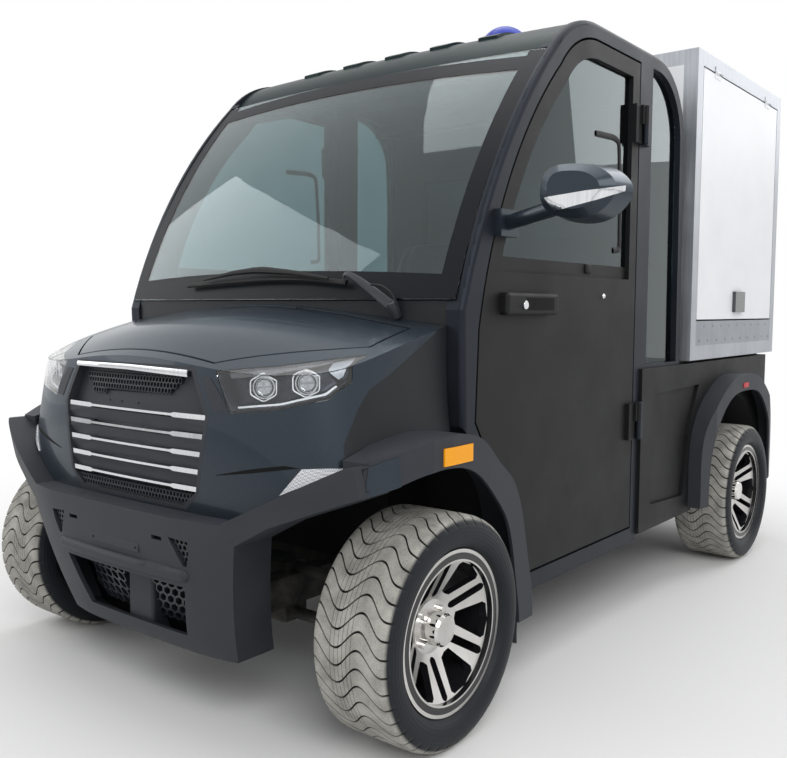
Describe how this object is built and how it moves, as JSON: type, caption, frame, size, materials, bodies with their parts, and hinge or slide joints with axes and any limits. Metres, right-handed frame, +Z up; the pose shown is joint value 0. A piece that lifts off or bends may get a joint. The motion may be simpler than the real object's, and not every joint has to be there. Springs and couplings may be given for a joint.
{
  "type": "utility golf cart",
  "caption": "Closed electric utility golf cart with a slatted nose, rear-hung cab doors and a tall white cargo box with side hatches and rear doors.",
  "frame": {"origin": "on the ground under the cart's centre line, midway along its length; the one door mirror reaches out past the middle of its width", "axes": "+Z up, -Y towards the front, +X to the cart's left"},
  "size_m": [1.8658, 3.1393, 2.01],
  "materials": {
    "nose_paint": "gloss",
    "black_textured": "satin",
    "black_moulded": "matte",
    "dark_frame": "satin",
    "white_panel": "satin",
    "edge_aluminium": "satin",
    "kick_grey": "satin",
    "chrome_trim": "polished",
    "glass_tinted": "gloss",
    "lamp_clear": "gloss",
    "lamp_housing": "gloss",
    "tail_red": "gloss",
    "beacon_blue": "gloss",
    "tyre_rubber": "matte",
    "rim_machined": "machined",
    "cast_dark": "rough",
    "seat_vinyl": "satin",
    "battery_case": "matte"
  },
  "bodies": {
    "chassis": {"battery_pack": "battery_case", "beacon_dome": "beacon_blue", "bed_sides": "black_textured", "box_frame": "edge_aluminium", "box_kick_plates": "kick_grey", "box_panels": "white_panel", "bumper_mesh": "black_moulded", "cab_back_wall": "dark_frame", "cab_frame": "dark_frame", "cab_glass": "glass_tinted", "cab_tub": "dark_frame", "chassis_frame": "dark_frame", "dashboard": "black_moulded", "front_bumper": "black_moulded", "front_flares": "black_moulded", "front_suspension": "cast_dark", "grille": "black_moulded", "grille_bars": "chrome_trim", "headlamp_housings": "lamp_housing", "headlamp_lenses": "lamp_clear", "nose_fascia": "nose_paint", "rear_axle": "cast_dark", "rear_body": "dark_frame", "rear_bumper": "dark_frame", "rear_flares": "black_moulded", "roof": "nose_paint", "seat_backs": "seat_vinyl", "seat_cushions": "seat_vinyl", "side_panels": "black_moulded", "tail_lamps": "tail_red", "windscreen": "glass_tinted"},
    "cab_door_left": {"door_left": "black_textured", "door_glass_left": "glass_tinted", "mirror_left": "nose_paint"},
    "side_hatch_left": {"hatch_left": "white_panel", "hatch_latch_left": "black_moulded"},
    "back_door_left": {"rear_door_left": "white_panel", "rear_door_latch_left": "black_moulded"},
    "steer_left": {"knuckle_left": "cast_dark"},
    "wheel_front_left": {"tyre_front_left": "tyre_rubber", "rim_front_left": "rim_machined"},
    "wheel_rear_left": {"tyre_rear_left": "tyre_rubber", "rim_rear_left": "rim_machined"},
    "cab_door_right": {"door_right": "black_textured", "door_glass_right": "glass_tinted"},
    "side_hatch_right": {"hatch_right": "white_panel", "hatch_latch_right": "black_moulded"},
    "back_door_right": {"rear_door_right": "white_panel", "rear_door_latch_right": "black_moulded"},
    "steer_right": {"knuckle_right": "cast_dark"},
    "wheel_front_right": {"tyre_front_right": "tyre_rubber", "rim_front_right": "rim_machined"},
    "wheel_rear_right": {"tyre_rear_right": "tyre_rubber", "rim_rear_right": "rim_machined"},
    "hood_lid": {"hood": "nose_paint"},
    "steering": {"steering_wheel": "black_moulded"}
  },
  "joints": [
    {"name": "steer_left_turn", "type": "hinge", "parent": "chassis", "child": "steer_left", "pos_m": [0.6, -1.165, 0.28], "axis": [0, 0, 1], "range_deg": [-25, 25]},
    {"name": "steer_right_turn", "type": "hinge", "parent": "chassis", "child": "steer_right", "pos_m": [-0.6, -1.165, 0.28], "axis": [0, 0, 1], "range_deg": [-25, 25]},
    {"name": "wheel_front_left_spin", "type": "hinge", "parent": "steer_left", "child": "wheel_front_left", "pos_m": [0.685, -1.165, 0.28], "axis": [1, 0, 0], "continuous": true},
    {"name": "wheel_rear_left_spin", "type": "hinge", "parent": "chassis", "child": "wheel_rear_left", "pos_m": [0.685, 0.985, 0.28], "axis": [1, 0, 0], "continuous": true},
    {"name": "wheel_front_right_spin", "type": "hinge", "parent": "steer_right", "child": "wheel_front_right", "pos_m": [-0.685, -1.165, 0.28], "axis": [1, 0, 0], "continuous": true},
    {"name": "wheel_rear_right_spin", "type": "hinge", "parent": "chassis", "child": "wheel_rear_right", "pos_m": [-0.685, 0.985, 0.28], "axis": [1, 0, 0], "continuous": true},
    {"name": "steering_wheel_turn", "type": "hinge", "parent": "chassis", "child": "steering", "pos_m": [0.315, -0.655, 1.01], "axis": [0, 0.5736, 0.8191], "range_deg": [-450, 450]},
    {"name": "cab_door_left_swing", "type": "hinge", "parent": "chassis", "child": "cab_door_left", "pos_m": [0.712, 0.0306, 0.8], "axis": [0, 0, 1], "range_deg": [0, 72]},
    {"name": "side_hatch_left_swing", "type": "hinge", "parent": "chassis", "child": "side_hatch_left", "pos_m": [0.717, 1.0175, 1.955], "axis": [0, -1, 0], "range_deg": [0, 92]},
    {"name": "back_door_left_swing", "type": "hinge", "parent": "chassis", "child": "back_door_left", "pos_m": [0.66, 1.55, 1.4], "axis": [0, 0, -1], "range_deg": [0, 110]},
    {"name": "cab_door_right_swing", "type": "hinge", "parent": "chassis", "child": "cab_door_right", "pos_m": [-0.712, 0.0306, 0.8], "axis": [0, 0, -1], "range_deg": [0, 72]},
    {"name": "side_hatch_right_swing", "type": "hinge", "parent": "chassis", "child": "side_hatch_right", "pos_m": [-0.717, 1.0175, 1.955], "axis": [0, 1, 0], "range_deg": [0, 92]},
    {"name": "back_door_right_swing", "type": "hinge", "parent": "chassis", "child": "back_door_right", "pos_m": [-0.66, 1.55, 1.4], "axis": [0, 0, 1], "range_deg": [0, 110]},
    {"name": "hood_lift", "type": "hinge", "parent": "chassis", "child": "hood_lid", "pos_m": [0, -1.074, 1.04], "axis": [-1, 0, 0], "range_deg": [0, 50]}
  ],
  "couplings": [
    {"joint": "steer_right_turn", "follows": "steer_left_turn", "ratio": 1},
    {"joint": "steering_wheel_turn", "follows": "steer_left_turn", "ratio": 18}
  ]
}
